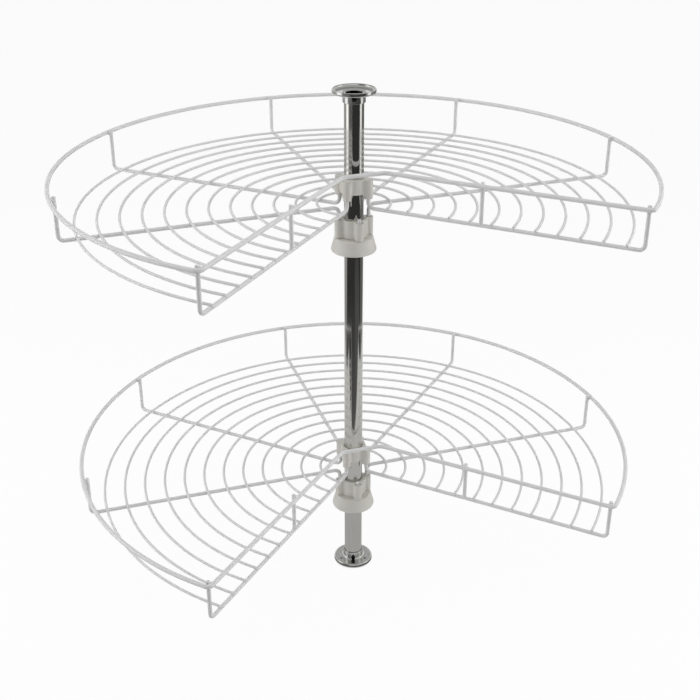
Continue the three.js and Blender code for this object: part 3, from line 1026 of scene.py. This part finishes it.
class CAROUSEL_OT_flanges(Operator):
    """Build the flange at each end of the pole"""

    bl_idname = "carousel.flanges"
    bl_label = "Flanges"

    def execute(self, context):
        sizes = context.scene.carousel_pole
        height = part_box("top_flange")[1].z
        facing = box_centre("bottom_flange_grub_screw")
        azimuth = math.atan2(facing.y, facing.x)
        upside_down = Matrix.Translation((0, 0, height)) @ Matrix.Rotation(math.pi, 4, "X")
        places = {
            "bottom_flange": Matrix.Rotation(azimuth, 4, "Z"),
            "top_flange": upside_down @ Matrix.Rotation(-azimuth, 4, "Z"),
        }
        for node, place in places.items():
            bm = build_flange(sizes)
            place_in(bm, place)
            finish_piece(bm, node, "plated", satin_chrome())
        return {"FINISHED"}


class CAROUSEL_OT_grub_screws(Operator):
    """Build the grub screws of the flanges and cones"""

    bl_idname = "carousel.grub_screws"
    bl_label = "Grub screws"

    def execute(self, context):
        sizes = context.scene.carousel_pole
        runs = {"bottom_flange": sizes.flange_grub_length, "top_flange": sizes.flange_grub_length}
        runs.update({f"{basket}_cone": sizes.cone_grub_length for basket in BASKETS})
        for holder, run in runs.items():
            node = f"{holder}_grub_screw"
            centre = box_centre(node)
            turn = Matrix.Rotation(math.atan2(centre.y, centre.x), 4, "Z")
            lay = Matrix.Rotation(QUARTER_TURN, 4, "Y") @ Matrix.Translation((0, 0, -run / 2))
            bm = build_grub_screw(sizes, run)
            place_in(bm, Matrix.Translation(centre) @ turn @ lay)
            finish_piece(bm, node, "blacked", black_oxide())
        return {"FINISHED"}


class CAROUSEL_OT_stage(Operator):
    """Build the studio: floor, reflectors, lamps, world and camera"""

    bl_idname = "carousel.stage"
    bl_label = "Studio"

    def execute(self, context):
        stage = context.scene.carousel_stage
        build_floor(stage)
        build_reflectors()
        build_lamps()
        build_world(context.scene)
        build_camera(context.scene, stage)
        context.scene.view_settings.view_transform = "Standard"
        return {"FINISHED"}


# ---- Studio ----------------------------------------------------------------------------------

FLOOR_DROP = 0.2 * MM               # from the flange's face down to the paper
FRONT = math.radians(-110.2)        # azimuth from the pole towards the camera
ROOM = 6.0                          # from the pole to the edges of the floor and ceiling, in metres
CEILING = 2.7
SOFTBOX_DISTANCE = 1.65             # from the pole to the tall softboxes, which stand on the floor
SOFTBOX_HEIGHT = 1.5
ROOM_LEVEL = 0.5                    # what the world gives the object
WHITE_LEVEL = 0.975                 # what the background gives the picture
PAPER_GLOW = 0.93                   # share of its own white in the paper that is seen
SENSOR_WIDTH = 36                   # in millimetres


def seen_directly(tree):
    """1 for rays that carry the picture of the background: camera, glossy and transmission rays."""
    path = add_node(tree, "ShaderNodeLightPath")
    first = add_node(
        tree, "ShaderNodeMath", links={0: (path, "Is Camera Ray"), 1: (path, "Is Glossy Ray")},
        operation="MAXIMUM",
    )
    return add_node(
        tree, "ShaderNodeMath", links={0: (first, "Value"), 1: (path, "Is Transmission Ray")},
        operation="MAXIMUM",
    )


def build_floor(stage):
    """White paper: mostly its own white where it is seen, so that only a breath of shadow is left on it.
    Under the flange its colour is painted dark, a painted shade.
    """
    material, tree = new_material("white paper sweep")
    white = tuple(stage.floor_colour)
    # the last of these is a painted shade, the paper's colour under the flange
    darkest, palest, painted_shade_tone = 0.9, 0.92, 0.08
    fibre = grain(tree, 2 * MM)
    matte = add_node(
        tree, "ShaderNodeMix", {"A": shade(white, darkest), "B": shade(white, palest)},
        {"Factor": (fibre, "Fac")}, data_type="RGBA",
    )
    glow = add_node(tree, "ShaderNodeEmission", {"Color": (*white, 1), "Strength": 1.0})
    place = add_node(tree, "ShaderNodeTexCoord")
    reach = add_node(
        tree, "ShaderNodeVectorMath", links={"Vector": (place, "Object")}, operation="LENGTH",
    )
    flange_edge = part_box("bottom_flange")[1].x
    near, far = flange_edge - 1 * MM, flange_edge + 1 * MM
    share = add_node(                                       # painted shade: the paper's glow and colour fall to dark under the flange, where no light gets in
        tree, "ShaderNodeMapRange",
        {"From Min": near, "From Max": far, "To Min": 0.0, "To Max": PAPER_GLOW},
        {"Value": (reach, "Value")},
    )
    tone = add_node(
        tree, "ShaderNodeMix", {"A": shade(white, painted_shade_tone)},
        {"Factor": (share, "Result"), "B": (matte, "Result")}, data_type="RGBA",
    )
    paper = add_node(tree, "ShaderNodeBsdfDiffuse", links={"Color": (tone, "Result")})
    seen = add_node(
        tree, "ShaderNodeMixShader",
        links={"Fac": (share, "Result"), 1: (paper, "BSDF"), 2: (glow, "Emission")},
    )
    mixed = add_node(
        tree, "ShaderNodeMixShader",
        links={"Fac": (seen_directly(tree), "Value"), 1: (paper, "BSDF"), 2: (seen, "Shader")},
    )
    add_node(tree, "ShaderNodeOutputMaterial", links={"Surface": (mixed, "Shader")})
    bm = bmesh.new()
    bmesh.ops.create_circle(
        bm, cap_ends=True, segments=TURNED_STEPS, radius=stage.floor_radius,
        matrix=Matrix.Translation((0, 0, -FLOOR_DROP)),
    )
    floor = object_of(bm, "floor")
    floor.data.materials.append(material)


def reflector(name, corners, level, far_level=None, between=(0.0, 1.0)):
    """A glowing sheet that only reflections show, a painted reflection; its level may change between two
    distances off the pole.
    """
    bm = bmesh.new()
    bm.faces.new([bm.verts.new(corner) for corner in corners])
    sheet = object_of(bm, name)
    material, tree = new_material(f"{name} cloth")
    place = add_node(tree, "ShaderNodeTexCoord")
    plan = add_node(tree, "ShaderNodeMapping", {"Scale": (1, 1, 0)}, {"Vector": (place, "Object")})
    reach = add_node(
        tree, "ShaderNodeVectorMath", links={"Vector": (plan, "Vector")}, operation="LENGTH",
    )
    near, far = between
    brightness = add_node(
        tree, "ShaderNodeMapRange",
        {"From Min": near, "From Max": far, "To Min": level, "To Max": far_level or level},
        {"Value": (reach, "Value")},
    )
    painted_glow = add_node(tree, "ShaderNodeEmission", links={"Strength": (brightness, "Result")})
    add_node(tree, "ShaderNodeOutputMaterial", links={"Surface": (painted_glow, "Emission")})
    sheet.data.materials.append(material)
    for ray in ("camera", "diffuse", "shadow", "transmission", "volume_scatter"):
        setattr(sheet, f"visible_{ray}", False)


def from_front(forward, side, height):
    """A place in the studio, by how far it lies towards the camera and to the picture's right."""
    return polar(forward, FRONT, height) + polar(side, FRONT + QUARTER_TURN)


def flat_sheet(height, forward, side):
    """The corners of a level rectangle, from its ranges towards the camera and to the right."""
    corners = ((forward[0], side[0]), (forward[0], side[1]), (forward[1], side[1]), (forward[1], side[0]))
    return [from_front(*corner, height) for corner in corners]


def standing_sheet(*ends):
    """The corners of a sheet as tall as a softbox, from the (distance, turn from the front) of its ends."""
    low, high = (polar(distance, FRONT + math.radians(turn)) for distance, turn in ends)
    return [low, high, high + UP * SOFTBOX_HEIGHT, low + UP * SOFTBOX_HEIGHT]


def build_reflectors():
    """The room that the chrome shows, as painted reflections: glowing sheets for a pale board under the
    carousel, dark floor round it, a dim ceiling and strips at the softboxes.

    The levels are matched to the stripes on the photographed pole. The sheets on the floor lie a millimetre
    over each other, so that the last one shows.
    """
    whole = (-ROOM, ROOM)
    reflector(
        "left_floor", flat_sheet(1 * MM, forward=whole, side=(-ROOM, 0)),
        level=0.25, far_level=0.42, between=(0.7, 1.2),
    )
    reflector("right_floor", flat_sheet(1 * MM, forward=whole, side=(0, ROOM)), level=0.16)
    # painted shade: the front sheets are dark for the unlit studio in front
    fan = ((0.0, -0.7), (0.0, 0.7), (0.35, ROOM), (ROOM, ROOM), (ROOM, -ROOM), (0.35, -ROOM))
    reflector(
        "front_black", [from_front(forward, side, 2 * MM) for forward, side in fan],
        level=0.105, far_level=0.038, between=(0.42, 1.0),
    )
    reflector(
        "front_grey", flat_sheet(3 * MM, forward=(0.3, 1.1), side=(0.25, 1.0)),
        level=0.12, far_level=0.07, between=(0.5, 1.3),
    )
    # painted shade: the board glows darker towards the pole, where the carousel shades it
    reflector(
        "pale_board", flat_sheet(4 * MM, forward=(-1.5, 0.375), side=(-0.62, 0.65)),
        level=0.51, far_level=0.76, between=(0.1, 0.6),
    )
    reflector("dim_ceiling", flat_sheet(CEILING, forward=whole, side=whole), level=0.5)
    beside = SOFTBOX_DISTANCE
    reflector("left_strip", standing_sheet((beside, -98), (beside, -66)), level=1.5)
    reflector(
        "left_card", standing_sheet((1.6, -66), (2.2, -25)), level=0.2, far_level=0.04, between=(1.6, 2.2),
    )
    reflector("right_strip", standing_sheet((beside, 74), (beside, 96)), level=1.3)


def area_lamp(name, place, target, power, size):
    """A soft lamp that points at a target. Reflections show the strips in its stead."""
    lamp = bpy.data.lights.new(name, "AREA")
    lamp.shape = "RECTANGLE"
    lamp.energy = power
    lamp.size, lamp.size_y = size
    body = bpy.data.objects.new(name, lamp)
    body.location = place
    aim = Vector(target) - Vector(place)
    body.rotation_euler = aim.to_track_quat("-Z", "Y").to_euler()
    body.visible_camera = False
    body.visible_glossy = False
    bpy.context.scene.collection.objects.link(body)


def build_lamps():
    """A tall softbox at each side and one overhead."""
    middle = SOFTBOX_HEIGHT / 2
    for name, turn in (("left_softbox", -88), ("right_softbox", 88)):
        place = polar(SOFTBOX_DISTANCE, FRONT + math.radians(turn), middle)
        area_lamp(name, place, target=(0, 0, middle), power=12, size=(0.5, SOFTBOX_HEIGHT))
    overhead = from_front(forward=0.2, side=0, height=2.2)
    area_lamp("top_softbox", overhead, target=(0, 0, 0.4), power=10, size=(1.5, 1.5))


def build_world(scene):
    """An even pale room light, and white where the background is seen."""
    world = bpy.data.worlds.new("studio")
    world.use_nodes = True
    tree = world.node_tree
    tree.nodes.clear()
    room = add_node(tree, "ShaderNodeBackground", {"Color": (1, 1, 1, 1), "Strength": ROOM_LEVEL})
    white = add_node(tree, "ShaderNodeBackground", {"Color": (1, 1, 1, 1), "Strength": WHITE_LEVEL})
    mixed = add_node(
        tree, "ShaderNodeMixShader",
        links={"Fac": (seen_directly(tree), "Value"), 1: (room, "Background"), 2: (white, "Background")},
    )
    add_node(tree, "ShaderNodeOutputWorld", links={"Surface": (mixed, "Shader")})
    scene.world = world


def build_camera(scene, stage):
    """The photograph's camera, which is level to a tenth of a degree."""
    data = bpy.data.cameras.new("camera")
    data.sensor_width = SENSOR_WIDTH
    data.lens = stage.camera_lens
    camera = bpy.data.objects.new("camera", data)
    scene.collection.objects.link(camera)
    turn = Matrix.Rotation(stage.camera_turn, 4, "Z")
    tilt = Matrix.Rotation(QUARTER_TURN - stage.camera_tilt, 4, "X")
    roll = Matrix.Rotation(stage.camera_roll, 4, "Z")
    camera.matrix_world = Matrix.Translation(stage.camera_place) @ turn @ tilt @ roll
    scene.camera = camera


# ---- Panel and registration ------------------------------------------------------------------

class CAROUSEL_PT_build(Panel):
    """The carousel's sizes, colours and building steps"""

    bl_idname = "CAROUSEL_PT_build"
    bl_label = "Corner carousel"
    bl_space_type = "VIEW_3D"
    bl_region_type = "UI"
    bl_category = "Carousel"

    def draw(self, context):
        layout = self.layout
        for operator in OPERATORS:
            layout.operator(operator.bl_idname)
        for name, group in GROUPS.items():
            box = layout.box()
            box.label(text=group.__doc__)
            settings = getattr(context.scene, name)
            for key in group.__annotations__:
                box.prop(settings, key)


OPERATORS = (
    CAROUSEL_OT_pole_tube,
    CAROUSEL_OT_flanges,
    CAROUSEL_OT_cones,
    CAROUSEL_OT_grub_screws,
    CAROUSEL_OT_collars,
    CAROUSEL_OT_spokes,
    CAROUSEL_OT_hub_pins,
    CAROUSEL_OT_rings,
    CAROUSEL_OT_mid_posts,
    CAROUSEL_OT_rails,
    CAROUSEL_OT_stage,
)
GROUPS = {
    "carousel_pole": CarouselPole,
    "carousel_basket": CarouselBasket,
    "carousel_hub": CarouselHub,
    "carousel_stage": CarouselStage,
}
CLASSES = (*GROUPS.values(), *OPERATORS, CAROUSEL_PT_build)


def register():
    for cls in CLASSES:
        bpy.utils.register_class(cls)
    for name, group in GROUPS.items():
        setattr(bpy.types.Scene, name, PointerProperty(type=group))


def unregister():
    for name in GROUPS:
        delattr(bpy.types.Scene, name)
    for cls in reversed(CLASSES):
        bpy.utils.unregister_class(cls)


def main():
    """Builds every piece and the studio."""
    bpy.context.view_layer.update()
    register()
    for operator in OPERATORS:
        family, name = operator.bl_idname.split(".")
        getattr(getattr(bpy.ops, family), name)()
    bpy.context.view_layer.update()


if __name__ == "__main__":
    main()
